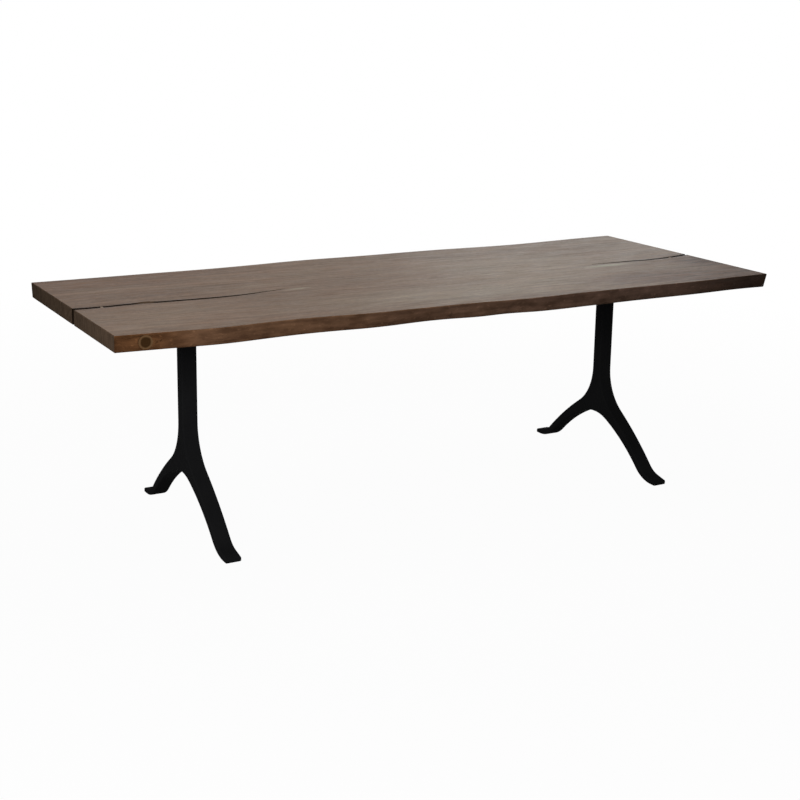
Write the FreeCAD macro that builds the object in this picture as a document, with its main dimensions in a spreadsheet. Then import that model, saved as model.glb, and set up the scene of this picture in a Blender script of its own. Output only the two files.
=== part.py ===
"""Dining table: one live-edge slab with a split in each end, on two cast wishbone legs.

Millimetres. The origin is on the floor under the middle of the slab, +X runs along the slab,
+Y to its back edge and +Z up.
"""
import FreeCAD
import Part
import Sketcher
import os
import re

# Driving sizes. Angles are in degrees.
SIZES = {
    # slab
    "slab_length": 2400,
    "slab_thickness": 50,
    "table_height": 762,
    "slab_round": 2.5,
    # end splits: how far each runs in, how wide it is at its tip, how far its cut passes the slab
    "split_left_length": 720,
    "split_right_length": 470,
    "split_tip": 1.2,
    "cut_past": 6,
    # tie rods that draw the splits together, the packers that keep them open, and the plugs over
    # the rods' nuts
    "tie_inset_left": 90,
    "tie_inset_right": 99,
    "packer_width": 8,
    "packer_drop": 0.5,
    "packer_clearance": 0.1,
    "rod_diameter": 12,
    "rod_length": 650,
    "rod_past_nut": 3,
    "nut_width": 18,
    "nut_height": 10,
    "tie_washer_thickness": 2.5,
    "washer_gap": 4,
    "plug_cover": 4,
    "plug_gap": 3,
    "seat_depth": 46,
    "bore_clearance": 0.2,
    "blind_clearance": 2,
    # wishbone legs
    "leg_spacing": 1656,
    "leg_line": -13,
    "leg_width": 53,
    "leg_round": 4.5,
    "post_thickness": 43,
    "flare_radius": 180,
    "knee_angle": 34.1,
    "ankle_angle": 45.6,
    "ankle_radius": 90,
    "toe_slope": 12,
    "toe_run": 41,
    "nose_height": 15,
    "nose_round": 1.5,
    "foot_reach": 374,
    "sole_length": 20,
    "heel_radius": 128,
    "heel_angle": 44.5,
    "arch_angle": 24.5,
    "arch_radius": 170,
    # flange cast on each post
    "flange_length": 150,
    "flange_width": 110,
    "flange_thickness": 10,
    "flange_corner": 12,
    "flange_fillet": 8,
    "flange_round": 2,
    # steel head plate across the slab
    "plate_length": 640,
    "plate_thickness": 8,
    "plate_corner": 12,
    "plate_round": 1,
    "slot_length": 15,
    # hexagon heads: the slope of the cone that trims their corners, and its share of their width
    "head_slope": 60,
    "head_land": 0.95,
    # flange bolts
    "bolt_diameter": 10,
    "bolt_head_width": 17,
    "bolt_head_height": 6.4,
    "bolt_washer_diameter": 20,
    "bolt_washer_thickness": 2,
    "bolt_edge": 19,
    "bolt_short": 1,
    "bolt_clearance": 0.5,
    "thread_clearance": 0.1,
    # plate screws and the threaded inserts they turn into
    "screw_diameter": 8,
    "screw_length": 24,
    "screw_head_width": 13,
    "screw_head_height": 5.3,
    "screw_washer_diameter": 20,
    "screw_washer_thickness": 1.6,
    "screw_edge": 19,
    "screw_end": 30,
    "screw_column_inner": 290,
    "insert_diameter": 12,
    "insert_length": 20,
    "insert_below": 4,
    # felt pads under the toes
    "pad_thickness": 1,
    "pad_inset": 1.5,
    "pad_corner": 3,
}

# The natural edges: distances of the top arris from the slab's middle line, and how far the
# underside is drawn in, at even steps from the left end to the right end. The front edge is the
# more broken of the two and takes shorter steps.
EDGES = {
    "front_edge": [437, 446, 452, 465, 456, 449, 449, 456, 470, 467, 466, 466, 466,
                   478, 481, 475, 469, 473, 468, 471, 472, 473, 469, 462, 461],
    "front_undercut": [2, 4, 2, 3, 0, 4, 9, 12, 16, 18, 29, 26, 7,
                       34, 16, 9, 9, 16, 16, 19, 20, 21, 24, 22, 14],
    "back_edge": [435, 431, 436, 430, 442, 465, 453, 460, 462, 444, 447, 473, 481],
    "back_undercut": [9, 8, 12, 14, 10, 8, 12, 16, 14, 10, 12, 18, 22],
}
LAST_STATION = {edge: len(EDGES[f"{edge}_edge"]) - 1 for edge in ("front", "back")}

# The splits: each one's distance from the slab's middle line, towards the back, and its opening,
# at even steps from the slab's end to the split's tip.
SPLITS = {
    "split_left_line": [-37, -48, -32, -43, -46, -51, -48, -30, -8],
    "split_left_open": [18, 16, 14, 16, 13, 12, 10, 7],
    "split_right_line": [-16, -37, -48, -52, -56, -49, -53, -46, -52],
    "split_right_open": [12, 14, 12, 11, 10, 9, 7, 4],
}
LAST_SPLIT_STATION = len(SPLITS["split_left_line"]) - 1

SIDES = {"left": -1, "right": 1}
ENDS = {"front": -1, "back": 1}
TOLERANCE = 0.001

doc = FreeCAD.newDocument("dining_table")
sheet = doc.addObject("Spreadsheet::Sheet", "Sizes")
for series in (EDGES, SPLITS):
    for name, numbers in series.items():
        SIZES.update({f"{name}_{i}": number for i, number in enumerate(numbers)})
for row, (name, number) in enumerate(SIZES.items(), start=1):
    sheet.set(f"A{row}", name)
    sheet.set(f"B{row}", str(number))
    sheet.setAlias(f"B{row}", name)
doc.recompute()


def link(text):
    """The expression with each size's name pointed at its cell in the sheet."""
    return re.sub(r"[a-z_][a-z0-9_]*", lambda m: f"Sizes.{m[0]}" if m[0] in SIZES else m[0], str(text))


def value(text):
    return float(sheet.evalExpression(link(text)))


def bind(thing, **expressions):
    for name, text in expressions.items():
        thing.setExpression(name, link(text))
    return thing


def place(thing, x="0", y="0", z="0", axis=None, degrees=0):
    """Put a sub-part at a bound position, turned about an axis."""
    if axis:
        turn = FreeCAD.Rotation(FreeCAD.Vector(*axis), degrees)
        thing.Placement = FreeCAD.Placement(FreeCAD.Vector(), turn)
    for letter, text in (("x", x), ("y", y), ("z", z)):
        thing.setExpression(f"Placement.Base.{letter}", link(text))
    return thing


def new_body(label):
    body = doc.addObject("PartDesign::Body", label)
    body.Label = label
    return body


def new_sketch(body, name, role="XY_Plane", level="0"):
    """A sketch on one of the body's own planes, raised along its normal to a bound level."""
    sketch = body.newObject("Sketcher::SketchObject", name)
    plane = [feature for feature in body.Origin.OriginFeatures if feature.Role == role][0]
    sketch.AttachmentSupport = [(plane, "")]
    sketch.MapMode = "FlatFace"
    sketch.setExpression("AttachmentOffset.Base.z", link(level))
    return sketch


def dimension(sketch, kind, geometry, text):
    """A bound dimension: geometry is what the constraint is laid on."""
    index = sketch.addConstraint(Sketcher.Constraint(kind, *geometry, value(text)))
    sketch.setExpression(f"Constraints[{index}]", link(text))


def pin(sketch, geometry, point, x, y):
    """Hold a sketch point at bound distances from the sketch's origin."""
    dimension(sketch, "DistanceX", (-1, 1, geometry, point), x)
    dimension(sketch, "DistanceY", (-1, 1, geometry, point), y)


def arc_between(start, end, radius):
    """The minor arc from start to end, turning left for a positive radius and right for a negative."""
    chord = end - start
    middle = (start + end) * 0.5
    normal = FreeCAD.Vector(-chord.y, chord.x, 0).normalize()
    rise = max(radius * radius - chord.Length * chord.Length / 4, 0) ** 0.5
    centre = middle + normal * (rise if radius > 0 else -rise)
    circle = Part.Circle(centre, FreeCAD.Vector(0, 0, 1), abs(radius))
    first, second = (start, end) if radius > 0 else (end, start)
    return Part.ArcOfCircle(circle, circle.parameter(first), circle.parameter(second))


def outline(sketch, corners, radii=None):
    """A closed outline through bound corners; radii gives the bound radius of the stretch after a
    corner that is an arc, with a minus sign in front where it turns right."""
    radii = radii or {}
    points = [FreeCAD.Vector(value(x), value(y), 0) for x, y in corners]
    ends = []
    for i, start in enumerate(points):
        end = points[(i + 1) % len(points)]
        if i in radii:
            index = sketch.addGeometry(arc_between(start, end, value(radii[i])), False)
            ends.append((index, 1, 2) if value(radii[i]) > 0 else (index, 2, 1))
        else:
            index = sketch.addGeometry(Part.LineSegment(start, end), False)
            ends.append((index, 1, 2))
    for i, (index, first, _) in enumerate(ends):
        before, _, last = ends[i - 1]
        sketch.addConstraint(Sketcher.Constraint("Coincident", before, last, index, first))
        pin(sketch, index, first, *corners[i])
    for i, text in radii.items():
        dimension(sketch, "Radius", (ends[i][0],), text.lstrip("-"))


def circles(sketch, centres, diameter):
    for x, y in centres:
        centre = FreeCAD.Vector(value(x), value(y), 0)
        circle = Part.Circle(centre, FreeCAD.Vector(0, 0, 1), value(diameter) / 2)
        index = sketch.addGeometry(circle, False)
        pin(sketch, index, 3, x, y)
        dimension(sketch, "Diameter", (index,), diameter)


def hexagons(sketch, centres, width):
    """Hexagons of a bound width across their flats."""
    for x, y in centres:
        across, up = f"({width}) / 2", f"({width}) / sqrt(3)"
        outline(sketch, [
            (f"{x} + {across}", f"{y} - {up} / 2"),
            (f"{x} + {across}", f"{y} + {up} / 2"),
            (x, f"{y} + {up}"),
            (f"{x} - {across}", f"{y} + {up} / 2"),
            (f"{x} - {across}", f"{y} - {up} / 2"),
            (x, f"{y} - {up}"),
        ])


def rounded_rectangle(sketch, x0, y0, x1, y1, corner):
    """A rectangle between two bound corners, with its own corners rounded."""
    outline(
        sketch,
        [
            (f"{x0} + {corner}", y0), (f"{x1} - {corner}", y0),
            (x1, f"{y0} + {corner}"), (x1, f"{y1} - {corner}"),
            (f"{x1} - {corner}", y1), (f"{x0} + {corner}", y1),
            (x0, f"{y1} - {corner}"), (x0, f"{y0} + {corner}"),
        ],
        {1: corner, 3: corner, 5: corner, 7: corner},
    )


def middle_rectangle(sketch, width, length, corner):
    """A rounded rectangle about the sketch's origin."""
    rounded_rectangle(sketch, f"-{width} / 2", f"-{length} / 2", f"{width} / 2", f"{length} / 2", corner)


def slots(sketch, centres, width, length):
    """Round-ended slots that run along the sketch's Y axis."""
    for x, y in centres:
        reach = f"(({length}) - ({width})) / 2"
        middle = FreeCAD.Vector(value(x), value(y), 0)
        rise = FreeCAD.Vector(0, value(reach), 0)
        across = FreeCAD.Vector(value(width) / 2, 0, 0)
        beyond = FreeCAD.Vector(0, value(length) / 2, 0)
        top = Part.Arc(middle + rise + across, middle + beyond, middle + rise - across)
        foot = Part.Arc(middle - rise - across, middle - beyond, middle - rise + across)
        upper = sketch.addGeometry(top, False)
        left = sketch.addGeometry(Part.LineSegment(middle + rise - across, middle - rise - across), False)
        lower = sketch.addGeometry(foot, False)
        right = sketch.addGeometry(Part.LineSegment(middle - rise + across, middle + rise + across), False)
        for before, after in ((upper, left), (left, lower), (lower, right), (right, upper)):
            sketch.addConstraint(Sketcher.Constraint("Tangent", before, 2, after, 1))
        pin(sketch, upper, 3, x, f"{y} + {reach}")
        pin(sketch, lower, 3, x, f"{y} - {reach}")
        dimension(sketch, "Radius", (upper,), f"({width}) / 2")


def spline(sketch, poles):
    """A smooth curve led by bound poles; returns its place in the sketch."""
    curve = Part.BSplineCurve()
    curve.buildFromPoles([FreeCAD.Vector(value(x), value(y), 0) for x, y in poles], False, 3)
    index = sketch.addGeometry(curve, False)
    sketch.exposeInternalGeometry(index)
    for i, (x, y) in enumerate(poles):
        pin(sketch, index + 1 + i, 3, x, y)
    return index


def join_splines(sketch, first, second):
    """Straight ends between two splines that run the same way."""
    for point in (1, 2):
        start = sketch.getPoint(first, point)
        end = sketch.getPoint(second, point)
        line = sketch.addGeometry(Part.LineSegment(start, end), False)
        sketch.addConstraint(Sketcher.Constraint("Coincident", line, 1, first, point))
        sketch.addConstraint(Sketcher.Constraint("Coincident", line, 2, second, point))


def pad(body, sketch, length, symmetric=False, down=False, **more):
    feature = body.newObject("PartDesign::Pad", sketch.Name + "_pad")
    feature.Profile = sketch
    feature.SideType = "Symmetric" if symmetric else "One side"
    feature.Reversed = down
    return bind(feature, Length=length, **more)


def pocket(body, sketch, length, down=True):
    feature = body.newObject("PartDesign::Pocket", sketch.Name + "_pocket")
    feature.Profile = sketch
    feature.Reversed = not down
    return bind(feature, Length=length)


def fillet(body, base, name, radius, wanted):
    """Round the edges of the base feature that wanted picks."""
    doc.recompute()
    names = [f"Edge{i}" for i, edge in enumerate(base.Shape.Edges, start=1) if wanted(edge)]
    feature = body.newObject("PartDesign::Fillet", name)
    feature.Base = (base, names)
    return bind(feature, Radius=radius)


def is_level(edge):
    return abs(edge.Vertexes[0].Z - edge.Vertexes[-1].Z) < TOLERANCE


def cylinder(name, diameter, height, **where):
    thing = bind(doc.addObject("Part::Cylinder", name), Radius=f"({diameter}) / 2", Height=height)
    return place(thing, **where)


# Slab

UNDERSIDE = "(table_height - slab_thickness)"


def natural_outline(body, name, level, drawn_in):
    """The slab's outline at a level: two natural edges and two sawn ends."""
    sketch = new_sketch(body, name, level=level)
    edges = []
    for edge, sign in ENDS.items():
        poles = []
        last = LAST_STATION[edge]
        for i in range(last + 1):
            away = f"({edge}_edge_{i} - {drawn_in} * {edge}_undercut_{i})"
            poles.append((f"slab_length * ({i} / {last} - 0.5)", f"{sign} * {away}"))
        edges.append(spline(sketch, poles))
    join_splines(sketch, *edges)
    return sketch


def slab_blank():
    """The slab before it is cut: a loft from its top to its narrower underside, with eased arrises."""
    body = new_body("slab_blank")
    loft = body.newObject("PartDesign::AdditiveLoft", "slab_loft")
    loft.Profile = natural_outline(body, "slab_top_face", "table_height", 0)
    loft.Sections = [natural_outline(body, "slab_underside", UNDERSIDE, 1)]
    loft.Ruled = True
    fillet(body, loft, "slab_arrises", "slab_round", is_level)
    return body


def split_wedge(name, side, clearance="0"):
    """The wedge between the banks of one end split, from past the slab's end to its tip, less a
    clearance inside each bank."""
    sign, prefix = SIDES[side], f"split_{side}"
    body = new_body(name)
    sketch = new_sketch(body, f"{name}_outline", level=f"{UNDERSIDE} - cut_past")
    banks = []
    for bank in ENDS.values():
        poles = []
        for i in range(LAST_SPLIT_STATION + 1):
            in_from_end = f"{prefix}_length * {i} / {LAST_SPLIT_STATION} - {0 if i else 'cut_past'}"
            opening = f"{prefix}_open_{i}" if i < LAST_SPLIT_STATION else "split_tip"
            x = f"{sign} * (slab_length / 2 - ({in_from_end}))"
            poles.append((x, f"{prefix}_line_{i} + {bank} * ({opening} / 2 - {clearance})"))
        banks.append(spline(sketch, poles))
    join_splines(sketch, *banks)
    pad(body, sketch, "slab_thickness + 2 * cut_past")
    return body


# Tie rods: the left one goes in from the front edge, the right one from the back edge. Each stack
# runs along its own Z axis, inwards, with zero at the seat of its washer.

ROD_LEVEL = "(table_height - slab_thickness / 2)"
NUT_TOP = "(tie_washer_thickness + nut_height)"
ROD_START = f"({NUT_TOP} + rod_past_nut)"
PLUG_DIAMETER = "(slab_thickness - 2 * plug_cover)"
MOUTH = f"(seat_depth + {PLUG_DIAMETER})"
TIE_OUT = {"left": ENDS["front"], "right": ENDS["back"]}


def edge_at_tie(side, edge, corner, next_in):
    """The natural edge's distance from the slab's middle line at the tie rod near one of its ends."""
    first, second = f"{edge}_edge_{corner}", f"{edge}_edge_{next_in}"
    return f"({first} + ({second} - {first}) * tie_inset_{side} * {LAST_STATION[edge]} / slab_length)"


def tie_x(side):
    return f"{SIDES[side]} * (slab_length / 2 - tie_inset_{side})"


TIE_EDGE = {
    "left": edge_at_tie("left", "front", 0, 1),
    "right": edge_at_tie("right", "back", LAST_STATION["back"], LAST_STATION["back"] - 1),
}


def tie_place(thing, side, along="0"):
    """Lay a piece on its tie rod's line, a bound way in from the washer's seat."""
    out = TIE_OUT[side]
    return place(
        thing,
        x=tie_x(side),
        y=f"{out} * ({TIE_EDGE[side]} - seat_depth - ({along}))",
        z=ROD_LEVEL,
        axis=(1, 0, 0),
        degrees=90 * out,
    )


def tie_cylinder(name, side, diameter, start, height):
    return tie_place(cylinder(name, diameter, height), side, start)


def tie_cuts(side):
    """The rod's blind bore and the counterbore over its nut."""
    bore = tie_cylinder(
        f"tie_bore_{side}", side, "rod_diameter + 2 * bore_clearance",
        "0", f"rod_length - {ROD_START} + blind_clearance")
    mouth = tie_cylinder(
        f"tie_counterbore_{side}", side, f"{PLUG_DIAMETER} + 2 * bore_clearance",
        f"-{MOUTH}", MOUTH)
    return [bore, mouth]


def tie_pieces(side, blank, plug_label):
    rod = tie_cylinder(f"tie_rod_{side}", side, "rod_diameter", f"-{ROD_START}", "rod_length")

    washer = new_body(f"tie_washer_{side}")
    sketch = new_sketch(washer, f"tie_washer_{side}_outline")
    circles(sketch, [("0", "0")], f"{PLUG_DIAMETER} - 2 * washer_gap")
    circles(sketch, [("0", "0")], "rod_diameter + 2 * bore_clearance")
    pad(washer, sketch, "tie_washer_thickness")
    tie_place(washer, side, "-tie_washer_thickness")

    nut = new_body(f"tie_nut_{side}")
    sketch = new_sketch(nut, f"tie_nut_{side}_outline")
    hexagons(sketch, [("0", "0")], "nut_width")
    circles(sketch, [("0", "0")], "rod_diameter + 2 * thread_clearance")
    pad(nut, sketch, "nut_height")
    tie_place(nut, side, f"-{NUT_TOP}")

    # the plug is trimmed flush with the natural edge
    dowel = tie_cylinder(
        f"{plug_label}_dowel", side, PLUG_DIAMETER, f"-{MOUTH}", f"{MOUTH} - {ROD_START} - plug_gap")
    plug = doc.addObject("Part::Common", plug_label)
    plug.Base = dowel
    plug.Tool = blank
    return [rod, washer, nut, plug, split_packer(side)]


def split_packer(side):
    """A wood packer between a split's banks, from a saddle on the tie rod up to the slab's top."""
    name = f"split_packer_{side}"
    block = doc.addObject("Part::Box", f"{name}_block")
    bind(block, Length="packer_width", Width="slab_thickness", Height="slab_thickness / 2 - packer_drop")
    place(block, x=f"{tie_x(side)} - packer_width / 2",
          y=f"split_{side}_line_1 - slab_thickness / 2", z=ROD_LEVEL)
    strip = doc.addObject("Part::Common", f"{name}_strip")
    strip.Base = block
    strip.Tool = split_wedge(f"{name}_wedge", side, "packer_clearance")
    saddle = tie_cylinder(f"{name}_saddle", side, "rod_diameter + 2 * bore_clearance", "0", "rod_length")
    packer = doc.addObject("Part::Cut", name)
    packer.Base = strip
    packer.Tool = saddle
    return packer


# Legs

PLATE_FOOT = f"({UNDERSIDE} - plate_thickness)"
FLANGE_FOOT = f"({PLATE_FOOT} - flange_thickness)"


def grid(row, columns):
    """Bound centres at plus and minus half of the row spacing and of each column spacing."""
    centres = []
    for column in columns:
        for x in (-1, 1):
            for y in (-1, 1):
                centres.append((f"{x} * {row} / 2", f"{y} * {column} / 2"))
    return centres


BOLTS = grid("(flange_width - 2 * bolt_edge)", ["(flange_length - 2 * bolt_edge)"])
SCREWS = grid("(flange_width - 2 * screw_edge)", ["screw_column_inner", "(plate_length - 2 * screw_end)"])


def leg_place(body, side, z="0"):
    return place(body, x=f"{SIDES[side]} * leg_spacing / 2", y="leg_line", z=z)


def leg_side():
    """Half of the wishbone's outline from the flange down to the toe and back up to the arch: the
    corners as distances from the leg's line and the floor, and the radii of the arcs between."""
    post = "post_thickness / 2"
    knee_y = f"({post} + flare_radius * (1 - sin(knee_angle)))"
    toe_y = "(foot_reach - toe_run)"
    ankle_y = f"({toe_y} - ankle_radius * (sin(ankle_angle) - sin(toe_slope)))"
    toe_z = "(pad_thickness + nose_height + toe_run * tan(toe_slope))"
    ankle_z = f"({toe_z} + ankle_radius * (cos(toe_slope) - cos(ankle_angle)))"
    shin_radius = f"(({ankle_y} - {knee_y}) / (sin(ankle_angle) - sin(knee_angle)))"
    knee_z = f"({ankle_z} + {shin_radius} * (cos(knee_angle) - cos(ankle_angle)))"
    flare_z = f"({knee_z} + flare_radius * cos(knee_angle))"
    sole_y = "(foot_reach - sole_length)"
    heel_y = f"({sole_y} - heel_radius * sin(heel_angle))"
    heel_z = "(pad_thickness + heel_radius * (1 - cos(heel_angle)))"
    arch_y = "(arch_radius * sin(arch_angle))"
    calf_radius = f"(({heel_y} - {arch_y}) / (sin(heel_angle) - sin(arch_angle)))"
    arch_z = f"({heel_z} + {calf_radius} * (cos(arch_angle) - cos(heel_angle)))"
    corners = [
        (post, PLATE_FOOT), (post, flare_z), (knee_y, knee_z), (ankle_y, ankle_z), (toe_y, toe_z),
        ("foot_reach", "pad_thickness + nose_height"), ("foot_reach", "pad_thickness"),
        (sole_y, "pad_thickness"), (heel_y, heel_z), (arch_y, arch_z),
    ]
    radii = {1: "flare_radius", 2: f"-{shin_radius}", 3: "ankle_radius",
             7: "-heel_radius", 8: calf_radius, 9: "arch_radius"}
    return corners, radii


def wishbone_outline(sketch):
    """The whole wishbone, its far half the mirror image of the near one."""
    corners, radii = leg_side()
    count = len(corners)
    mirrored = [(f"-1 * {y}", z) for y, z in reversed(corners)]
    turns = dict(radii)
    for stretch, radius in radii.items():
        if stretch < count - 1:
            turns[2 * count - 2 - stretch] = radius
    outline(sketch, corners + mirrored, turns)


def wishbone_leg(side):
    """One casting: the wishbone with rounded edges, and the flange on its post."""
    body = new_body(f"leg_{side}")
    sketch = new_sketch(body, f"leg_{side}_outline", role="YZ_Plane")
    wishbone_outline(sketch)
    blank = pad(body, sketch, "leg_width", symmetric=True)
    half_width, tip, top = value("leg_width / 2"), value("foot_reach"), value(PLATE_FOOT)

    def is_long_edge(edge):
        middle = edge.CenterOfMass
        on_side = abs(abs(middle.x) - half_width) < TOLERANCE
        at_end = abs(abs(middle.y) - tip) < TOLERANCE or abs(middle.z - top) < TOLERANCE
        return on_side and not at_end

    def is_nose_edge(edge):
        return all(abs(abs(vertex.Y) - tip) < TOLERANCE for vertex in edge.Vertexes)

    rounded = fillet(body, blank, f"leg_{side}_edges", "leg_round", is_long_edge)
    fillet(body, rounded, f"leg_{side}_noses", "nose_round", is_nose_edge)
    sketch = new_sketch(body, f"leg_{side}_flange", level=FLANGE_FOOT)
    middle_rectangle(sketch, "flange_width", "flange_length", "flange_corner")
    flange = pad(body, sketch, "flange_thickness")
    foot = value(FLANGE_FOOT)
    reach = value("leg_width / 2 + leg_round")

    def is_at_foot(edge):
        return is_level(edge) and abs(edge.CenterOfMass.z - foot) < TOLERANCE

    def is_neck(edge):
        return is_at_foot(edge) and max(abs(edge.CenterOfMass.x), abs(edge.CenterOfMass.y)) < reach

    def is_rim(edge):
        return is_at_foot(edge) and max(abs(edge.CenterOfMass.x), abs(edge.CenterOfMass.y)) > reach

    neck = fillet(body, flange, f"leg_{side}_neck", "flange_fillet", is_neck)
    fillet(body, neck, f"leg_{side}_rim", "flange_round", is_rim)
    sketch = new_sketch(body, f"leg_{side}_holes", level=PLATE_FOOT)
    circles(sketch, BOLTS, "bolt_diameter + 2 * bolt_clearance")
    pocket(body, sketch, "flange_thickness")
    return leg_place(body, side)


def head_plate(side):
    """The flat steel plate between the flange and the slab: threaded for the bolts, slotted for the
    screws so that the slab can swell across its grain."""
    body = new_body(f"head_plate_{side}")
    sketch = new_sketch(body, f"head_plate_{side}_outline")
    middle_rectangle(sketch, "flange_width", "plate_length", "plate_corner")
    plate = pad(body, sketch, "plate_thickness")
    fillet(body, plate, f"head_plate_{side}_rim", "plate_round", lambda edge: edge.CenterOfMass.z < TOLERANCE)
    sketch = new_sketch(body, f"head_plate_{side}_holes", level="plate_thickness")
    circles(sketch, BOLTS, "bolt_diameter + 2 * thread_clearance")
    slots(sketch, SCREWS, "screw_diameter + 2 * bolt_clearance", "slot_length")
    pocket(body, sketch, "plate_thickness")
    return leg_place(body, side, PLATE_FOOT)


def hex_fasteners(label, centres, head_width, head_height, diameter, length):
    """Hexagon-headed fasteners, heads down, with zero under their heads. A cone trims each head's
    corners."""
    prisms = new_body(f"{label}_prisms")
    sketch = new_sketch(prisms, f"{label}_hexagons")
    hexagons(sketch, centres, head_width)
    pad(prisms, sketch, head_height, down=True)
    cones = new_body(f"{label}_cones")
    sketch = new_sketch(cones, f"{label}_lands", level=f"-{head_height}")
    circles(sketch, centres, f"head_land * {head_width}")
    pad(cones, sketch, head_height, TaperAngle="head_slope")
    heads = doc.addObject("Part::Common", f"{label}_heads")
    heads.Base = prisms
    heads.Tool = cones
    shanks = new_body(f"{label}_shanks")
    sketch = new_sketch(shanks, f"{label}_circles")
    circles(sketch, centres, diameter)
    pad(shanks, sketch, length)
    whole = doc.addObject("Part::Fuse", label)
    whole.Base = heads
    whole.Tool = shanks
    return whole


def rings(label, centres, outer, inner, height):
    body = new_body(label)
    sketch = new_sketch(body, f"{label}_outline")
    circles(sketch, centres, outer)
    circles(sketch, centres, inner)
    pad(body, sketch, height)
    return body


def fasteners(side):
    """Bolts through the flange into the head plate, and screws through the plate into inserts."""
    bolt_seat = f"({FLANGE_FOOT} - bolt_washer_thickness)"
    bolt_length = "flange_thickness + bolt_washer_thickness + plate_thickness - bolt_short"
    screw_seat = f"({PLATE_FOOT} - screw_washer_thickness)"
    bolts = hex_fasteners(
        f"flange_bolts_{side}", BOLTS, "bolt_head_width", "bolt_head_height", "bolt_diameter", bolt_length)
    bolt_washers = rings(
        f"flange_washers_{side}", BOLTS, "bolt_washer_diameter", "bolt_diameter + 2 * bolt_clearance",
        "bolt_washer_thickness")
    screws = hex_fasteners(
        f"plate_screws_{side}", SCREWS, "screw_head_width", "screw_head_height", "screw_diameter",
        "screw_length")
    screw_washers = rings(
        f"plate_washers_{side}", SCREWS, "screw_washer_diameter", "screw_diameter + 2 * bolt_clearance",
        "screw_washer_thickness")
    inserts = rings(
        f"threaded_inserts_{side}", SCREWS, "insert_diameter", "screw_diameter + 2 * thread_clearance",
        "insert_length")
    levels = [(bolts, bolt_seat), (bolt_washers, bolt_seat), (screws, screw_seat),
              (screw_washers, screw_seat), (inserts, UNDERSIDE)]
    return [leg_place(body, side, level) for body, level in levels]


def insert_holes(side):
    """Blind holes in the slab's underside for one leg's inserts."""
    body = new_body(f"insert_holes_{side}")
    sketch = new_sketch(body, f"insert_holes_{side}_outline")
    circles(sketch, SCREWS, "insert_diameter + 2 * bore_clearance")
    pad(body, sketch, "insert_length + insert_below + cut_past")
    return leg_place(body, side, f"{UNDERSIDE} - cut_past")


def foot_pad(side, end):
    """A thin pad under one toe's sole."""
    body = new_body(f"foot_pad_{side}_{end}")
    sketch = new_sketch(body, f"foot_pad_{side}_{end}_outline")
    half = "(leg_width / 2 - leg_round - pad_inset)"
    near, far = "(foot_reach - sole_length + pad_inset)", "(foot_reach - nose_round - pad_inset)"
    y0, y1 = (near, far) if end == "back" else (f"-1 * {far}", f"-1 * {near}")
    rounded_rectangle(sketch, f"-1 * {half}", y0, half, y1, "pad_corner")
    pad(body, sketch, "pad_thickness")
    return leg_place(body, side)


def make_slab(blank):
    """The finished slab: the blank less its splits, tie bores and insert holes."""
    cuts = []
    for side in SIDES:
        cuts += [split_wedge(f"split_{side}_cut", side), insert_holes(side), *tie_cuts(side)]
    tool = doc.addObject("Part::MultiFuse", "slab_cuts")
    tool.Shapes = cuts
    slab = doc.addObject("Part::Cut", "slab_top")
    slab.Base = blank
    slab.Tool = tool
    return slab


def build():
    blank = slab_blank()
    pieces = [make_slab(blank)]
    pieces += tie_pieces("left", blank, "edge_plug_front")
    pieces += tie_pieces("right", blank, "edge_plug_back")
    for side in SIDES:
        pieces += [wishbone_leg(side), head_plate(side)]
        pieces += fasteners(side)
        pieces += [foot_pad(side, end) for end in ENDS]
    doc.recompute()
    return pieces


def write(pieces):
    """Check every object of the document, then write each sub-part to its own file."""
    for thing in doc.Objects:
        if "Invalid" in thing.State or "Error" in thing.State:
            raise RuntimeError(f"{thing.Label} did not build: {thing.State}")
    for piece in pieces:
        if piece.Shape.isNull() or not piece.Shape.isValid() or not piece.Shape.Solids:
            raise RuntimeError(f"{piece.Label} has no valid solid")
    os.makedirs("parts", exist_ok=True)
    for piece in pieces:
        piece.Shape.exportStep(f"parts/{piece.Label}.step")
        print(piece.Label, len(piece.Shape.Solids), round(piece.Shape.Volume))


write(build())
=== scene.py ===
"""Looks of a live-edge dining table: one suar slab, split at both ends, on two cast wishbone legs.

Metres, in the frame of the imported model: the origin is on the floor under the middle of the slab,
+X runs along the slab, +Y to its back edge and +Z up.
"""
import math

import bmesh
import bpy
from bpy.props import FloatProperty, FloatVectorProperty, PointerProperty
from bpy.types import Operator, Panel, PropertyGroup
from mathutils import Matrix, Vector, noise


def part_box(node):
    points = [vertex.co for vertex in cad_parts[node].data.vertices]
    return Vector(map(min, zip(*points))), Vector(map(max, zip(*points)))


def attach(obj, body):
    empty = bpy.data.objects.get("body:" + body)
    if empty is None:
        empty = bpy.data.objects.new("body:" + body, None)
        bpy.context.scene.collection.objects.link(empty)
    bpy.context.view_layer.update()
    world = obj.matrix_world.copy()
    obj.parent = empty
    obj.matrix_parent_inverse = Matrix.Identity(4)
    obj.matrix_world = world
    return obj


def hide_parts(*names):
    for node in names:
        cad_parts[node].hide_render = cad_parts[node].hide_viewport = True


bl_info = {
    "name": "Live-edge dining table",
    "version": (1, 0, 0),
    "blender": (4, 5, 0),
    "location": "View3D > Sidebar > Table",
    "description": "Finishes a live-edge dining table on cast wishbone legs and sets its stage",
    "category": "Object",
}

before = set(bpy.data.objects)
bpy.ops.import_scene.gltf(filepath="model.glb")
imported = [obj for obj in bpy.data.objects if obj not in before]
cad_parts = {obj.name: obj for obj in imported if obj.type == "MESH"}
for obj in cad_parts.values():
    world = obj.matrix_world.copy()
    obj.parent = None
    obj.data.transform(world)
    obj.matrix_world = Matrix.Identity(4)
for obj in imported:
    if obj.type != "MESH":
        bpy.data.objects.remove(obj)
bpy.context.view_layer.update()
SIDES = ("left", "right")
MM = 0.001
SLAB_LOW, SLAB_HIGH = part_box("slab_top")
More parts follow.
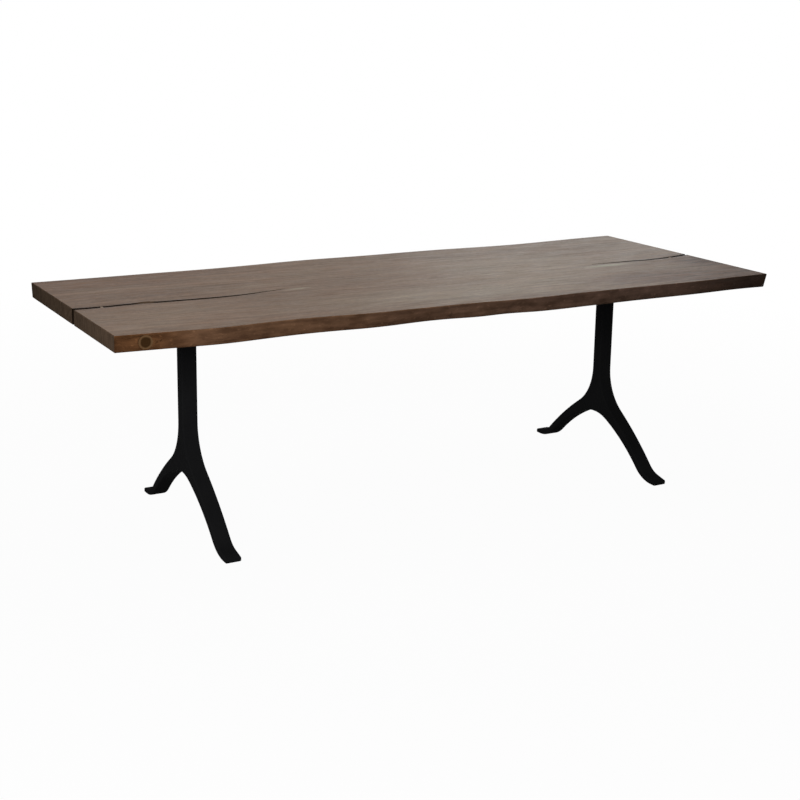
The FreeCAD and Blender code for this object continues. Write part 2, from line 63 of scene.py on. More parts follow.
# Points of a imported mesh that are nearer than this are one
WELD = 0.001 * MM
# How far a point may lie off the plane that it belongs to
SLACK = 0.01 * MM
# The kinds of faces of the slab, of which the first four are its finishes too
PLANED, NATURAL, SAWN, TORN, ARRIS, BORED = range(6)
# How far the arrises reach in from the slab's ends, and from its planed faces along the edges
END_ARRIS, EDGE_ARRIS = 3 * MM, 9 * MM
# The natural edges lie further from the middle than this
EDGE_OUT = 0.35
# The splits lie between these two lines, further from the middle than this
SPLIT_FRONT, SPLIT_BACK, SPLIT_OUT = -85 * MM, 20 * MM, 0.4
# Where along the left split a chip has come off its back wall, half its length, and its depth both
# into the wall and down from the top
CHIP, CHIP_LENGTH, CHIP_DEPTH = -0.965, 25 * MM, 14 * MM
# The kinds of faces of a casting
OUTLINE, ROUNDED, FLAT = range(3)
# A casting's half width, the radius of its long edges and that of its toes' ends, as in the CAD
LEG_HALF, LEG_ROUND, NOSE_ROUND = 26.5 * MM, 4.5 * MM, 1.5 * MM
# The log's pith runs along the slab, near the splits
PITH = Vector((0, -32 * MM, SLAB_HIGH.z - 42 * MM))
# Typical of wood and of the oil on it
WOOD_IOR = 1.5
# Roughness, step of scale and octaves of the noise that shapes the slab's mesh
OCTAVES = (0.9, 2.0, 3)
# Soft patches of tone on the planed faces, in mm and degrees: the middle's x and y, half the length
# and half the width, the turn, and how much paler or darker it is there. They are partly the wood's
# own tone and partly painted sheen and painted shade: the paler ones, greyed as they are laid on,
# paint the sheen of the pale room, also as pale streaks ahead of the splits, and the darker ones at
# the right end paint where that sheen fades
TONE_AND_SHEEN_PATCHES = (
    (770, -88, 150, 30, 2, 0.75),
    (-445, -24, 85, 17, 8, 0.6),
    (-510, 75, 180, 55, 3, 0.2),
    (450, 30, 560, 420, 0, 0.2),
    (-1100, -250, 500, 300, 0, 0.15),
    (0, -300, 800, 220, 0, 0.3),
    (1210, -430, 560, 320, 20, -0.45),
    (800, -330, 380, 150, 0, -0.35),
    (-1000, 460, 800, 300, 0, -0.2),
    (1190, -135, 220, 190, 0, -0.58),
)
# The middle lines of the splits: y in mm at even steps from the slab's end to the split's tip, and
# the tip's x
SPLITS = (
    ((-38, -43, -38, -42, -46, -50, -45, -29, -10), -480),
    ((-18, -35, -46, -52, -54, -51, -51, -49, -52), 730),
)


def linear(code):
    """A colour written as sRGB hex, as the linear numbers that shaders take."""
    channels = [int(code[i:i + 2], 16) / 255 for i in (1, 3, 5)]
    curved = [c / 12.92 if c <= 0.04045 else ((c + 0.055) / 1.055) ** 2.4 for c in channels]
    return (*curved, 1.0)


def colour(name, description, code):
    return FloatVectorProperty(
        name=name, description=description, subtype="COLOR", size=4, min=0, max=1,
        default=linear(code))


def length(name, description, millimetres):
    return FloatProperty(
        name=name, description=description, subtype="DISTANCE", unit="LENGTH", min=0, precision=4,
        default=millimetres * MM)


def share(name, description, number):
    return FloatProperty(
        name=name, description=description, subtype="FACTOR", min=0, max=1, default=number)


class TableWood(PropertyGroup):
    """Suar wood of the slab, its plugs and its packers."""
    top_dark: colour("Top, dark grain", "Late wood of the planed faces", "#493D33")
    top_pale: colour("Top, pale grain", "Early wood of the planed faces", "#806D5C")
    # the cool tint also carries painted sheen: it greys the paler patches and the right of the
    # planed faces
    cool_tint: colour("Cool tint", "Tint of the greyer patches of the planed faces", "#F8FAFA")
    warm_tint: colour("Warm tint", "Tint of the redder patches of the planed faces", "#F8EBE4")
    edge_dark: colour("Edge, dark grain", "Hollows of the natural edges at the left", "#4A3324")
    edge_pale: colour("Edge, pale grain", "Sapwood of the natural edges at the left", "#846249")
    edge_grey_dark: colour(
        "Edge, grey hollows", "Hollows of the natural edges at the right", "#3D2F26")
    edge_grey_pale: colour(
        "Edge, grey sapwood", "Sapwood of the natural edges at the right", "#7C6153")
    corner_tint: colour("Corner tint", "Tint of the natural edges at the left end", "#E9D9C0")
    end_dark: colour("End, dark rings", "Late wood of the sawn ends", "#2D241C")
    end_pale: colour("End, pale rings", "Early wood of the sawn ends", "#6C5949")
    # nearly black: painted shade of the narrow gaps in the splits, also painted as shade on the
    # natural edges at the right end, and the brown of the darker bands beside the splits
    torn: colour("Split walls", "Old, dry wood inside the splits", "#170E08")
    plug_heart: colour("Plug, heart", "Dark heart of the round plugs", "#382512")
    plug_ring: colour("Plug, ring", "Sapwood ring of the round plugs", "#6B5036")
    ring_spacing: length("Growth rings", "Spacing of the growth rings", 9)
    streak_length: length("Streak length", "Length of the colour streaks along the grain", 450)
    streak_width: length("Streak width", "Width of the colour streaks", 13)
    ribbon_length: length(
        "Ribbon length", "Length of the short ribbons that the interlocked grain shows", 85)
    ribbon_width: length("Ribbon width", "Width of the short ribbons", 20)
    vessel_length: length(
        "Vessel length", "Length of the vessel lines, drawn coarse enough to show", 60)
    vessel_width: length(
        "Vessel width", "Width of the vessel lines, drawn coarse enough to show", 2)
    dent_length: length("Dent length", "Length of the dents along the natural edges", 95)
    dent_depth: length("Dent depth", "Depth of the dents in the natural edges", 4)
    ridge_width: length("Ridge width", "Width of the ridges that run along the natural edges", 9)
    ridge_depth: length("Ridge depth", "Depth between the ridges of the natural edges", 1.4)
    roughness: share("Roughness", "Roughness of the oiled surface", 0.5)
    gloss: share("Gloss", "Specular level of the oiled surface", 0.06)
    edge_gloss: share("Edge gloss", "Specular level of the natural edges and the plugs", 0.02)
    dry_gloss: share("Dry gloss", "Specular level of the sawn ends and the split walls", 0.01)


class TableMetal(PropertyGroup):
    """Cast iron, steel and brass."""
    iron: colour("Cast iron", "Matt black paint on the castings", "#1E1E1F")
    steel: colour("Black steel", "Powder coat of the head plates and their bolts", "#101010")
    zinc: colour("Zinc", "Zinc plate of the tie rods and screws", "#A9A59C")
    brass: colour("Brass", "Brass of the threaded inserts", "#B9934A")
    felt: colour("Felt", "Pressed felt of the foot pads", "#1C1A18")
    sand_grain: length(
        "Sand grain", "Grain of the casting sand under the paint, drawn coarse enough to show", 3)


class TableStage(PropertyGroup):
    """Floor, light and camera."""
    floor: colour("Floor", "Pale floor", "#9A9A9A")
    camera_place: FloatVectorProperty(
        name="Camera", description="Where the camera stands", subtype="TRANSLATION", unit="LENGTH",
        default=(-2.4151, -4.2666, 1.6854))
    heading: FloatProperty(
        name="Heading", description="The camera's turn from +Y towards +X", subtype="ANGLE",
        default=math.radians(29.109))
    tilt: FloatProperty(
        name="Tilt", description="The camera's tilt below the horizon", subtype="ANGLE",
        default=math.radians(13.305))
    roll: FloatProperty(
        name="Roll", description="The camera's roll about its own axis", subtype="ANGLE",
        default=math.radians(0.945))
    lens: FloatProperty(
        name="Lens", description="Focal length in millimetres", unit="CAMERA", default=64.96)
    shift: FloatProperty(name="Shift", description="The frame's upward shift", default=-0.0705)


def add(tree, kind, inputs=None, **settings):
    """Add a node: settings go on the node itself, inputs on its sockets as numbers or links."""
    node = tree.nodes.new(kind)
    for name, value in settings.items():
        setattr(node, name, value)
    for name, value in (inputs or {}).items():
        if isinstance(value, bpy.types.NodeSocket):
            tree.links.new(value, node.inputs[name])
        else:
            node.inputs[name].default_value = value
    return node


def new_material(name):
    """An empty node material and the tree to build it in."""
    material = bpy.data.materials.new(name)
    material.use_nodes = True
    material.node_tree.nodes.clear()
    return material, material.node_tree


def dress(material, nodes):
    """Give CAD nodes a finish."""
    for name in nodes:
        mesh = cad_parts[name].data
        mesh.materials.clear()
        mesh.materials.append(material)


def per(along, across):
    """The scale that gives a pattern its real size along and across the grain."""
    return (1 / along, 1 / across, 1 / across)


def growth_rings(tree, grown, spacing):
    """Rings about the pith, some broader than others."""
    across = add(
        tree, "ShaderNodeMapping",
        {"Vector": grown, "Location": -PITH, "Scale": (0, 1, 1)}).outputs[0]
    radius = add(tree, "ShaderNodeVectorMath", {0: across}, operation="LENGTH").outputs["Value"]
    turn = add(tree, "ShaderNodeMath", {0: radius, 1: spacing}, operation="DIVIDE").outputs[0]
    return add(
        tree, "ShaderNodeTexNoise", {"W": turn, "Scale": 1.0, "Detail": 3.0, "Roughness": 0.6},
        noise_dimensions="1D").outputs[0]


def log_grain(tree, look, *wanted):
    """The wanted ones of the patterns that run through the whole slab, so that a streak goes on
    round an arris: growth rings, colour streaks, the ribbons of interlocked grain, vessel lines,
    broad patches and tints, mottles and flecks, on a grain that wanders slowly along the log."""
    place = add(tree, "ShaderNodeTexCoord").outputs["Object"]
    slow = add(
        tree, "ShaderNodeMapping", {"Vector": place, "Scale": per(830 * MM, 220 * MM)}).outputs[0]
    drift = add(
        tree, "ShaderNodeTexNoise", {"Vector": slow, "Scale": 1.0, "Detail": 2.0}).outputs["Color"]
    centred = add(
        tree, "ShaderNodeVectorMath",
        {0: drift, 1: (0.5, 0.5, 0.5)}, operation="SUBTRACT").outputs[0]
    swing = add(
        tree, "ShaderNodeVectorMath", {0: centred, "Scale": 70 * MM}, operation="SCALE").outputs[0]
    grown = add(tree, "ShaderNodeVectorMath", {0: place, 1: swing}, operation="ADD").outputs[0]

    grain = {"place": place}
    if "rings" in wanted:
        grain["rings"] = growth_rings(tree, grown, look.ring_spacing)
    for name, along, across in (
        ("streaks", look.streak_length, look.streak_width),
        ("ribbons", look.ribbon_length, look.ribbon_width),
        ("vessels", look.vessel_length, look.vessel_width),
        ("patches", 450 * MM, 140 * MM),
        ("tints", 190 * MM, 85 * MM),
        ("mottles", 58 * MM, 26 * MM),
        ("flecks", 16 * MM, 8 * MM),
    ):
        if name in wanted:
            drawn = add(
                tree, "ShaderNodeMapping",
                {"Vector": grown, "Scale": per(along, across)}).outputs[0]
            grain[name] = add(
                tree, "ShaderNodeTexNoise",
                {"Vector": drawn, "Scale": 1.0, "Detail": 3.0}).outputs[0]
    return grain


def lay_over(tree, level, patterns):
    """A level with patterns laid over it, each a noise about a half and its weight."""
    total = level - sum(weight for pattern, weight in patterns) / 2
    for pattern, weight in patterns:
        total = add(
            tree, "ShaderNodeMath",
            {0: pattern, 1: weight, 2: total}, operation="MULTIPLY_ADD").outputs[0]
    return total


def beside_split(tree, place, line, tip):
    """How much darker the wood is made beside a split: most at its rims, less by the chip and near
    its tip.
    """
    spot = add(tree, "ShaderNodeSeparateXYZ", {0: place}).outputs
    mouth = math.copysign(SLAB_HIGH.x, tip)
    inward = add(
        tree, "ShaderNodeMapRange",
        {"Value": spot["X"], "From Min": mouth, "From Max": tip * MM}).outputs[0]
    low, high = min(line), max(line)
    course = add(tree, "ShaderNodeFloatCurve", {"Value": inward})
    points = course.mapping.curves[0].points
    for i, y in enumerate(line):
        along, level = i / (len(line) - 1), (y - low) / (high - low)
        if i in (0, len(line) - 1):
            points[min(i, 1) * (len(points) - 1)].location = (along, level)
        else:
            points.new(along, level)
    course.mapping.update()
    middle = add(
        tree, "ShaderNodeMapRange",
        {"Value": course.outputs[0], "To Min": low * MM, "To Max": high * MM}).outputs[0]
    off = add(tree, "ShaderNodeMath", {0: spot["Y"], 1: middle}, operation="SUBTRACT").outputs[0]
    away = add(tree, "ShaderNodeMath", {0: off}, operation="ABSOLUTE").outputs[0]
    near = add(
        tree, "ShaderNodeMapRange", {"Value": away, "From Min": 20 * MM, "From Max": 8 * MM},
        interpolation_type="SMOOTHSTEP").outputs[0]
    mouthward = add(
        tree, "ShaderNodeMapRange",
        {"Value": inward, "From Max": 0.2, "To Min": 0.95, "To Max": 0.68}).outputs[0]
    fade = add(
        tree, "ShaderNodeMapRange", {"Value": inward, "From Min": 1.0, "From Max": 0.55}).outputs[0]
    by_chip = add(
        tree, "ShaderNodeMath", {0: spot["X"], 1: CHIP, 2: 20 * MM}, operation="COMPARE").outputs[0]
    off_chip = add(
        tree, "ShaderNodeMath", {0: by_chip, 1: -0.5, 2: 1.0}, operation="MULTIPLY_ADD").outputs[0]
    darkening = near
    for part in (mouthward, fade, off_chip):
        darkening = add(tree, "ShaderNodeMath", {0: darkening, 1: part}, operation="MULTIPLY").outputs[0]
    return darkening


def soft_patch(tree, place, x, y, half_length, half_width, turn, change):
    """One patch of tone: its whole change in the middle, none at its rim or on the underside."""
    half_depth = 30 * MM
    centred = add(
        tree, "ShaderNodeMapping",
        {"Vector": place, "Location": (x * MM, y * MM, SLAB_HIGH.z),
         "Rotation": (0, 0, math.radians(turn)),
         "Scale": (half_length * MM, half_width * MM, half_depth)},
        vector_type="TEXTURE").outputs[0]
    away = add(tree, "ShaderNodeVectorMath", {0: centred}, operation="LENGTH").outputs["Value"]
    return add(
        tree, "ShaderNodeMapRange",
        {"Value": away, "From Min": 1.0, "From Max": 0.1, "To Max": change},
        interpolation_type="SMOOTHSTEP").outputs[0]


def planed_wood(look):
    """Suar planed and oiled: long grey-brown streaks, short ribbons where the grain interlocks and
    fine flecks, in patches of warmer and cooler tone, with painted sheen that greys the paler
    patches and the right side, and darker bands along the splits."""
    material, tree = new_material("oiled_suar_planed")
    grain = log_grain(
        tree, look, "rings", "streaks", "ribbons", "vessels", "patches", "tints", "flecks")
    spot = add(tree, "ShaderNodeSeparateXYZ", {0: grain["place"]}).outputs
    mixed = lay_over(tree, 0.55, (
        (grain["rings"], 0.4), (grain["streaks"], 1.1), (grain["ribbons"], 0.3),
        (grain["vessels"], 0.4), (grain["patches"], 0.6), (grain["flecks"], 0.8)))
    # late wood draws thin dark lines along the rings here and there, and open pores short dashes
    off_line = add(
        tree, "ShaderNodeMath", {0: grain["rings"], 1: 0.5}, operation="SUBTRACT").outputs[0]
    beside = add(tree, "ShaderNodeMath", {0: off_line}, operation="ABSOLUTE").outputs[0]
    lines = add(
        tree, "ShaderNodeMapRange", {"Value": beside, "From Min": 0.05, "From Max": 0.0}).outputs[0]
    shown = add(
        tree, "ShaderNodeMapRange",
        {"Value": grain["ribbons"], "From Min": 0.4, "From Max": 0.65}).outputs[0]
    broken = add(tree, "ShaderNodeMath", {0: lines, 1: shown}, operation="MULTIPLY").outputs[0]
    pores = add(
        tree, "ShaderNodeMapRange",
        {"Value": grain["vessels"], "From Min": 0.57, "From Max": 0.68}).outputs[0]
    lined = add(
        tree, "ShaderNodeMath", {0: broken, 1: -0.4, 2: mixed}, operation="MULTIPLY_ADD").outputs[0]
    paleness = add(
        tree, "ShaderNodeMath", {0: pores, 1: -0.3, 2: lined}, operation="MULTIPLY_ADD").outputs[0]
    # painted sheen: warmer towards the left and greyer towards the right, where the sheen grows
    less_sheen_leftward = add(
        tree, "ShaderNodeMapRange",
        {"Value": spot["X"], "From Min": SLAB_HIGH.x, "From Max": SLAB_LOW.x}).outputs[0]
    warmth = lay_over(tree, 0.5, ((less_sheen_leftward, 1.0), (grain["tints"], 1.6)))
    for numbers in TONE_AND_SHEEN_PATCHES:
        patch = soft_patch(tree, grain["place"], *numbers)
        paleness = add(tree, "ShaderNodeMath", {0: paleness, 1: patch}, operation="ADD").outputs[0]
        # the paler a patch paints the wood, the greyer, as painted sheen of the pale room, and the
        # darker, the warmer
        warmth = add(
            tree, "ShaderNodeMath",
            {0: patch, 1: -3.2, 2: warmth}, operation="MULTIPLY_ADD").outputs[0]
    bare = add(
        tree, "ShaderNodeMix", {0: paleness, 6: look.top_dark, 7: look.top_pale}, data_type="RGBA",
        clamp_factor=False).outputs[2]
    tint = add(
        tree, "ShaderNodeMix", {0: warmth, 6: look.cool_tint, 7: look.warm_tint}, data_type="RGBA",
        clamp_factor=False).outputs[2]
    tone = add(
        tree, "ShaderNodeMix",
        {0: 1.0, 6: bare, 7: tint}, data_type="RGBA", blend_type="MULTIPLY").outputs[2]
    # darker bands beside the splits, in the brown of the split walls
    for line, tip in SPLITS:
        darkening = beside_split(tree, grain["place"], line, tip)
        tone = add(
            tree, "ShaderNodeMix", {0: darkening, 6: tone, 7: look.torn}, data_type="RGBA").outputs[2]
    relief = add(
        tree, "ShaderNodeBump",
        {"Height": grain["vessels"], "Strength": 0.35, "Distance": 0.4 * MM}).outputs[0]
    rough = add(
        tree, "ShaderNodeMapRange",
        {"Value": grain["ribbons"], "From Min": 0.3, "From Max": 0.7,
         "To Min": look.roughness + 0.06, "To Max": look.roughness - 0.06}).outputs[0]
    shader = add(
        tree, "ShaderNodeBsdfPrincipled",
        {"Base Color": tone, "Roughness": rough, "Normal": relief, "IOR": WOOD_IOR,
         "Specular IOR Level": look.gloss})
    add(tree, "ShaderNodeOutputMaterial", {"Surface": shader.outputs[0]})
    return material


def natural_edge(look):
    """The log's own surface from under the bark, brushed and oiled: warm mottled sapwood with pale
    flecks, darker low down as painted shade, yellower at the left end, and greyer and then painted
    dark with shade towards the right end."""
    material, tree = new_material("suar_natural_edge")
    grain = log_grain(
        tree, look, "streaks", "ribbons", "vessels", "patches", "mottles", "flecks")
    spot = add(tree, "ShaderNodeSeparateXYZ", {0: grain["place"]}).outputs
    mixed = lay_over(tree, 0.48, (
        (grain["mottles"], 1.3), (grain["streaks"], 0.7), (grain["ribbons"], 0.5),
        (grain["vessels"], 0.3)))
    flecks = add(
        tree, "ShaderNodeMapRange",
        {"Value": grain["flecks"], "From Min": 0.6, "From Max": 0.75, "To Max": 0.5}).outputs[0]
    flecked = add(tree, "ShaderNodeMath", {0: mixed, 1: flecks}, operation="ADD").outputs[0]
    # painted shade: the edge is darker low down, where it is undercut and faces the floor
    low = add(
        tree, "ShaderNodeMapRange",
        {"Value": spot["Z"], "From Min": SLAB_LOW.z, "From Max": SLAB_LOW.z + 22 * MM,
         "To Min": -0.6, "To Max": 0.0}).outputs[0]
    paleness = add(
        tree, "ShaderNodeMath",
        {0: grain["patches"], 1: low, 2: flecked}, operation="MULTIPLY_ADD").outputs[0]
    warm = add(
        tree, "ShaderNodeMix",
        {0: paleness, 6: look.edge_dark, 7: look.edge_pale}, data_type="RGBA").outputs[2]
    grey = add(
        tree, "ShaderNodeMix", {0: paleness, 6: look.edge_grey_dark, 7: look.edge_grey_pale},
        data_type="RGBA").outputs[2]
    rightward = add(
        tree, "ShaderNodeMath",
        {0: grain["mottles"], 1: 0.5, 2: spot["X"]}, operation="MULTIPLY_ADD").outputs[0]
    greyness = add(
        tree, "ShaderNodeMapRange",
        {"Value": rightward, "From Min": -0.4, "From Max": 0.9}).outputs[0]
    bare = add(tree, "ShaderNodeMix", {0: greyness, 6: warm, 7: grey}, data_type="RGBA").outputs[2]
    # painted shade: near the right end the edge is darkened towards the brown of the split walls
    right_end_shade = add(
        tree, "ShaderNodeMapRange",
        {"Value": rightward, "From Min": 1.05, "From Max": 1.35, "To Max": 0.75}).outputs[0]
    shaded_right_end = add(
        tree, "ShaderNodeMix", {0: right_end_shade, 6: bare, 7: look.torn}, data_type="RGBA").outputs[2]
    leftmost = add(
        tree, "ShaderNodeMapRange",
        {"Value": spot["X"], "From Min": -0.95, "From Max": -1.08}).outputs[0]
    tone = add(
        tree, "ShaderNodeMix", {0: leftmost, 6: shaded_right_end, 7: look.corner_tint}, data_type="RGBA",
        blend_type="MULTIPLY").outputs[2]
    fine = add(
        tree, "ShaderNodeBump",
        {"Height": grain["vessels"], "Strength": 0.5, "Distance": 0.8 * MM}).outputs[0]
    relief = add(
        tree, "ShaderNodeBump",
        {"Height": grain["flecks"], "Strength": 0.6, "Distance": 1.5 * MM,
         "Normal": fine}).outputs[0]
    rough = add(
        tree, "ShaderNodeMapRange",
        {"Value": grain["mottles"], "From Min": 0.3, "From Max": 0.7,
         "To Min": 0.68, "To Max": 0.52}).outputs[0]
    shader = add(
        tree, "ShaderNodeBsdfPrincipled",
        {"Base Color": tone, "Roughness": rough, "Normal": relief, "IOR": WOOD_IOR,
         "Specular IOR Level": look.edge_gloss})
    add(tree, "ShaderNodeOutputMaterial", {"Surface": shader.outputs[0]})
    return material


def sawn_end(look):
    """Suar sawn across the log and left dry, painted darker towards the back as shade: arcs of
    growth rings, open pores drawn coarse enough to show, and the upright marks of the saw."""
    material, tree = new_material("suar_end_grain")
    grain = log_grain(tree, look, "rings", "mottles")
    pores = add(
        tree, "ShaderNodeTexNoise",
        {"Vector": grain["place"], "Scale": 1 / (2.5 * MM), "Detail": 2.0}).outputs[0]
    upright = add(
        tree, "ShaderNodeMapping",
        {"Vector": grain["place"], "Scale": (1, 1 / (5 * MM), 1 / (90 * MM))}).outputs[0]
    saw = add(
        tree, "ShaderNodeTexNoise", {"Vector": upright, "Scale": 1.0, "Detail": 2.0}).outputs[0]
    spot = add(tree, "ShaderNodeSeparateXYZ", {0: grain["place"]}).outputs
    # painted shade: the end is paler at the front, towards the front lamp, and darker towards the
    # back
    shade_backward = add(
        tree, "ShaderNodeMapRange",
        {"Value": spot["Y"], "From Min": SLAB_LOW.y, "From Max": SLAB_HIGH.y}).outputs[0]
    paleness = lay_over(tree, 0.46, (
        (grain["rings"], 1.0), (pores, 0.6), (saw, 0.15), (grain["mottles"], 0.5),
        (shade_backward, -0.36)))
    tone = add(
        tree, "ShaderNodeMix",
        {0: paleness, 6: look.end_dark, 7: look.end_pale}, data_type="RGBA").outputs[2]
    fine = add(
        tree, "ShaderNodeBump", {"Height": pores, "Strength": 0.5, "Distance": 0.6 * MM}).outputs[0]
    relief = add(
        tree, "ShaderNodeBump",
        {"Height": saw, "Strength": 0.4, "Distance": 0.6 * MM, "Normal": fine}).outputs[0]
    rough = add(
        tree, "ShaderNodeMapRange", {"Value": pores, "To Min": 0.95, "To Max": 0.8}).outputs[0]
    shader = add(
        tree, "ShaderNodeBsdfPrincipled",
        {"Base Color": tone, "Roughness": rough, "Normal": relief, "IOR": WOOD_IOR,
         "Specular IOR Level": look.dry_gloss})
    add(tree, "ShaderNodeOutputMaterial", {"Surface": shader.outputs[0]})
    return material


def torn_wood(look):
    """The walls of the splits: fibres torn apart as the log dried, painted nearly black as the
    shade in the narrow gaps, but paler on the ledge that a chip has left, where the light reaches."""
    material, tree = new_material("suar_torn_fibres")
    grain = log_grain(tree, look, "vessels", "flecks")
    paleness = lay_over(tree, 0.2, ((grain["vessels"], 0.8), (grain["flecks"], 0.6)))
    # painted shade: the walls are nearly black, as the narrow gaps are in shade
    shaded_wall = add(
        tree, "ShaderNodeMix",
        {0: paleness, 6: look.torn, 7: look.end_dark}, data_type="RGBA").outputs[2]
    chipped = add(
        tree, "ShaderNodeMapping",
        {"Vector": grain["place"], "Location": (CHIP, -20 * MM, SLAB_HIGH.z),
         "Scale": (40 * MM, 20 * MM, 16 * MM)},
        vector_type="TEXTURE").outputs[0]
    away = add(tree, "ShaderNodeVectorMath", {0: chipped}, operation="LENGTH").outputs["Value"]
    # the light reaches the chip's ledge, so there the painted shade gives way to a paler, lit tone
    lit_ledge = add(
        tree, "ShaderNodeMapRange",
        {"Value": away, "From Min": 1.0, "From Max": 0.6, "To Max": 0.5}).outputs[0]
    tone = add(
        tree, "ShaderNodeMix", {0: lit_ledge, 6: shaded_wall, 7: look.end_pale}, data_type="RGBA").outputs[2]
    relief = add(
        tree, "ShaderNodeBump",
        {"Height": grain["vessels"], "Strength": 0.8, "Distance": 1.5 * MM}).outputs[0]
    rough = add(
        tree, "ShaderNodeMapRange",
        {"Value": grain["vessels"], "To Min": 0.95, "To Max": 0.85}).outputs[0]
    shader = add(
        tree, "ShaderNodeBsdfPrincipled",
        {"Base Color": tone, "Roughness": rough, "Normal": relief, "IOR": WOOD_IOR,
         "Specular IOR Level": look.dry_gloss})
    add(tree, "ShaderNodeOutputMaterial", {"Surface": shader.outputs[0]})
    return material


def plug_wood(look, name):
    """A branch-wood plug cut across its grain: a dark heart that fades into a ring of sapwood, with
    fine growth rings of its own and pores drawn coarse enough to show."""
    low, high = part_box(name)
    middle, radius = (low + high) / 2, (high.x - low.x) / 2
    material, tree = new_material(f"branch_wood_{name}")
    place = add(tree, "ShaderNodeTexCoord").outputs["Object"]
    disc = add(
        tree, "ShaderNodeMapping",
        {"Vector": place, "Location": (-middle.x, 0, -middle.z), "Scale": (1, 0, 1)}).outputs[0]
    wobble = add(
        tree, "ShaderNodeTexNoise",
        {"Vector": place, "Scale": 1 / (17 * MM), "Detail": 2.0}).outputs[0]
    out = add(tree, "ShaderNodeVectorMath", {0: disc}, operation="LENGTH").outputs["Value"]
    uneven = add(
        tree, "ShaderNodeMath", {0: wobble, 1: 6 * MM, 2: out}, operation="MULTIPLY_ADD").outputs[0]
    turn = add(tree, "ShaderNodeMath", {0: uneven, 1: 2.5 * MM}, operation="DIVIDE").outputs[0]
    rings = add(
        tree, "ShaderNodeTexNoise",
        {"W": turn, "Scale": 1.0, "Detail": 2.0}, noise_dimensions="1D").outputs[0]
    pores = add(
        tree, "ShaderNodeTexNoise",
        {"Vector": place, "Scale": 1 / (1.5 * MM), "Detail": 2.0}).outputs[0]
    sapwood = add(
        tree, "ShaderNodeMapRange",
        {"Value": uneven, "From Min": 0.78 * radius, "From Max": 1.0 * radius},
        interpolation_type="SMOOTHSTEP").outputs[0]
    grown = add(
        tree, "ShaderNodeMath", {0: rings, 1: 0.4, 2: sapwood}, operation="MULTIPLY_ADD").outputs[0]
    paleness = add(
        tree, "ShaderNodeMath", {0: pores, 1: 0.3, 2: grown}, operation="MULTIPLY_ADD").outputs[0]
    faded = add(
        tree, "ShaderNodeMapRange",
        {"Value": paleness, "From Min": 0.3, "From Max": 1.35}).outputs[0]
    tone = add(
        tree, "ShaderNodeMix",
        {0: faded, 6: look.plug_heart, 7: look.plug_ring}, data_type="RGBA").outputs[2]
    relief = add(
        tree, "ShaderNodeBump", {"Height": pores, "Strength": 0.4, "Distance": 0.5 * MM}).outputs[0]
    rough = add(
        tree, "ShaderNodeMapRange", {"Value": pores, "To Min": 0.65, "To Max": 0.5}).outputs[0]
    shader = add(
        tree, "ShaderNodeBsdfPrincipled",
        {"Base Color": tone, "Roughness": rough, "Normal": relief, "IOR": WOOD_IOR,
         "Specular IOR Level": look.edge_gloss})
    add(tree, "ShaderNodeOutputMaterial", {"Surface": shader.outputs[0]})
    return material


def grained_surface(name, tone, grain, depth, roughness, gloss=0.5, metallic=0.0):
    """A plain finish with a fine grain: it shifts the colour and the roughness a little and dents
    the surface."""
    material, tree = new_material(name)
    place = add(tree, "ShaderNodeTexCoord").outputs["Object"]
    bits = add(
        tree, "ShaderNodeTexNoise", {"Vector": place, "Scale": 1 / grain, "Detail": 3.0}).outputs[0]
    cloud = add(
        tree, "ShaderNodeTexNoise",
        {"Vector": place, "Scale": 1 / (110 * MM), "Detail": 3.0}).outputs[0]
    both = add(tree, "ShaderNodeMath", {0: bits, 1: cloud}, operation="ADD").outputs[0]
    shade = add(
        tree, "ShaderNodeMapRange",
        {"Value": both, "From Min": 0.6, "From Max": 1.4, "To Min": 0.8, "To Max": 1.2}).outputs[0]
    varied = add(
        tree, "ShaderNodeVectorMath",
        {0: tuple(tone)[:3], "Scale": shade}, operation="SCALE").outputs[0]
    rough = add(
        tree, "ShaderNodeMapRange",
        {"Value": cloud, "From Min": 0.3, "From Max": 0.7,
         "To Min": roughness - 0.06, "To Max": roughness + 0.06}).outputs[0]
    relief = add(
        tree, "ShaderNodeBump", {"Height": bits, "Strength": 0.5, "Distance": depth}).outputs[0]
    shader = add(
        tree, "ShaderNodeBsdfPrincipled",
        {"Base Color": varied, "Roughness": rough, "Metallic": metallic, "Normal": relief,
         "Specular IOR Level": gloss})
    add(tree, "ShaderNodeOutputMaterial", {"Surface": shader.outputs[0]})
    return material


def clamp(number):
    """The number, or the nearer of 0 and 1."""
    return min(max(number, 0), 1)


def packed_copy(node):
    """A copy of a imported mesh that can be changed, with its doubled points merged."""
    shape = bmesh.new()
    shape.from_mesh(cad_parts[node].data)
    bmesh.ops.remove_doubles(shape, verts=shape.verts, dist=WELD)
    shape.normal_update()
    return shape


def new_object(name, shape, materials):
    """An object in the scene, made of a shape that is done with."""
    mesh = bpy.data.meshes.new(name)
    shape.to_mesh(mesh)
    shape.free()
    for material in materials:
        mesh.materials.append(material)
    made = bpy.data.objects.new(name, mesh)
    bpy.context.scene.collection.objects.link(made)
    return made


def from_planed_face(place):
    """How far a place in the slab is from the nearer planed face."""
    return min(SLAB_HIGH.z - place.z, place.z - SLAB_LOW.z)


def kind_of_face(face):
    """Which surface of the slab a face lies on."""
    middle = face.calc_center_median()
    if abs(face.normal.z) > 0.99 and from_planed_face(middle) < WELD:
        return PLANED
    if SLAB_HIGH.x - abs(middle.x) < END_ARRIS and abs(face.normal.x) > 0.2:
        return SAWN
    if abs(middle.y) > EDGE_OUT:
        is_wall = from_planed_face(middle) > EDGE_ARRIS and abs(face.normal.y) > 0.5
        return NATURAL if is_wall else ARRIS
    is_upright = abs(face.normal.z) < 0.1
    is_split = SPLIT_FRONT < middle.y < SPLIT_BACK and abs(middle.x) > SPLIT_OUT
    return TORN if is_split and is_upright else BORED


